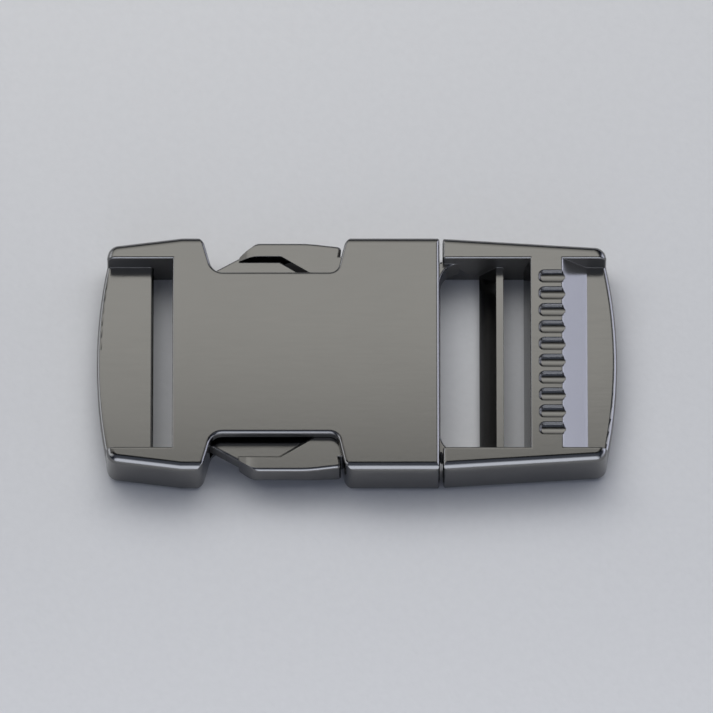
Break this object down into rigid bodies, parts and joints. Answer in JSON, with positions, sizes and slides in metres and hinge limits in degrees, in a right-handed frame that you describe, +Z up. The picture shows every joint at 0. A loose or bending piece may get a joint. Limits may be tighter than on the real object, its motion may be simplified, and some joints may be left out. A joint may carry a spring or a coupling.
{
  "type": "side-release buckle",
  "caption": "Metal side-release buckle for flat webbing, with sprung latch levers, a fixed webbing bar and a ribbed strap slider.",
  "frame": {"origin": "middle of the buckle's underside, under the middle of its length and width", "axes": "X along the strap from the socket's end bar to the plug's end bar, Y across the strap towards the rear lever, Z up through the thickness"},
  "size_m": [0.0662, 0.032, 0.0072],
  "materials": {
    "casting_finish": "black nickel plating on polished zinc die casting",
    "lever_finish": "black nickel plating on polished zinc die casting",
    "pin_steel": "drawn steel pin, plain",
    "spring_steel": "bright spring wire"
  },
  "bodies": {
    "socket": {"socket_housing": "casting_finish"},
    "plug": {"plug_frame": "casting_finish", "rear_pivot_pin": "pin_steel", "front_pivot_pin": "pin_steel", "rear_return_spring": "spring_steel", "front_return_spring": "spring_steel"},
    "rear_lever": {"rear_latch_lever": "lever_finish"},
    "front_lever": {"front_latch_lever": "lever_finish"}
  },
  "joints": [
    {"name": "plug_play", "type": "slide", "parent": "socket", "child": "plug", "axis": [1, 0, 0], "range_m": [-0.0003, 0.00015]},
    {"name": "rear_lever_press", "type": "hinge", "parent": "plug", "child": "rear_lever", "pos_m": [0.0076, 0.012, 0.0036], "axis": [0, 0, 1], "range_deg": [0, 9], "deforming": ["rear_return_spring"]},
    {"name": "front_lever_press", "type": "hinge", "parent": "plug", "child": "front_lever", "pos_m": [0.0076, -0.012, 0.0036], "axis": [0, 0, -1], "range_deg": [0, 9], "deforming": ["front_return_spring"]}
  ]
}
